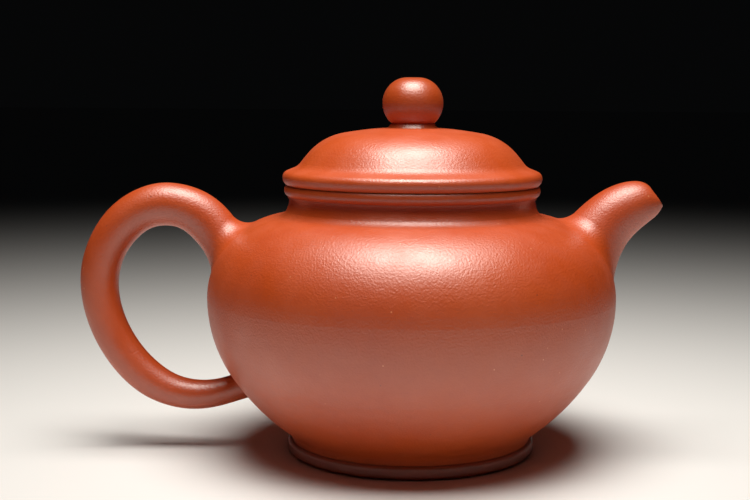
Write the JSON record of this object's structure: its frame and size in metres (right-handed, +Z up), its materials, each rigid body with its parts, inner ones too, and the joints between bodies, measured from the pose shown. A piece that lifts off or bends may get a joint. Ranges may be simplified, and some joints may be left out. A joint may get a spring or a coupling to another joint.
{
  "type": "clay teapot",
  "caption": "Round unglazed clay teapot with a lift-off domed lid and ball knob, a short curved spout and an ear-shaped handle, for brewing and pouring tea.",
  "frame": {"origin": "centre of the foot ring on the table, on the pot's turning axis", "axes": "+Z up along the turning axis, +X towards the spout, -X towards the handle"},
  "size_m": [0.1463, 0.102, 0.0936],
  "materials": {
    "clay": "satin"
  },
  "bodies": {
    "pot": {"foot_ring": "clay", "base_disc": "clay", "belly_wall": "clay", "shoulder_disc": "clay", "neck_collar": "clay", "mouth_ring": "clay", "spout": "clay", "strainer": "clay", "handle": "clay"},
    "lid": {"lid_rim": "clay", "lid_dome": "clay", "lid_flange": "clay", "knob": "clay"}
  },
  "joints": [
    {"name": "lid_lift", "type": "slide", "parent": "pot", "child": "lid", "axis": [0, 0, 1], "range_m": [0, 0.06]}
  ]
}
